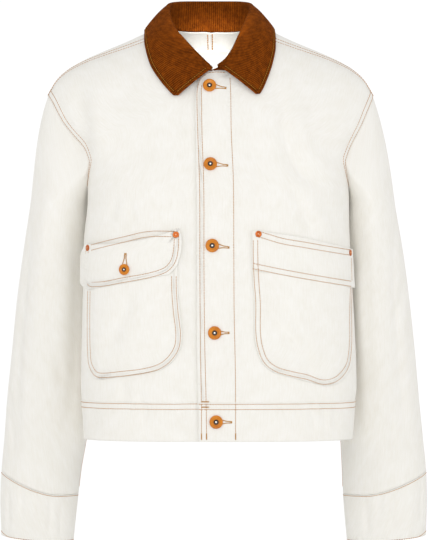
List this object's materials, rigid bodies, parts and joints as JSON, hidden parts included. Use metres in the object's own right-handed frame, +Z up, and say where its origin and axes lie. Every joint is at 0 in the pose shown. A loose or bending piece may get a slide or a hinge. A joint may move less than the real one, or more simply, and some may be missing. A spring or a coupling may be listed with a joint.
{
  "type": "denim jacket",
  "caption": "White denim work jacket with a brown corduroy collar, button front, flap pocket and banded pocket, hollow as if worn.",
  "frame": {"origin": "middle of the neck opening at shoulder height, where the wearer's shoulders carry the jacket", "axes": "+X to the wearer's left, +Y to the back, +Z up; the front faces -Y"},
  "size_m": [0.6051, 0.2434, 0.7638],
  "materials": {
    "denim": "off-white cotton twill, matt",
    "corduroy": "brown cotton corduroy, napped",
    "horn": "amber resin, satin",
    "copper": "copper, satin",
    "tape": "woven tape, bare"
  },
  "bodies": {
    "root": {"back_left": "denim", "back_right": "denim", "button_flap": "horn", "button_front_1": "horn", "button_front_2": "horn", "button_front_3": "horn", "button_front_4": "horn", "button_front_5": "horn", "collar": "corduroy", "cuff_left": "denim", "cuff_right": "denim", "front_left": "denim", "front_right": "denim", "hem_band_back": "denim", "hem_band_left": "denim", "hem_band_right": "denim", "label": "tape", "pocket_band_left": "denim", "pocket_flap_right": "denim", "pocket_left": "denim", "pocket_right": "denim", "rivet_1": "copper", "rivet_2": "copper", "rivet_3": "copper", "rivet_4": "copper", "sleeve_left": "denim", "sleeve_right": "denim"}
  },
  "joints": []
}
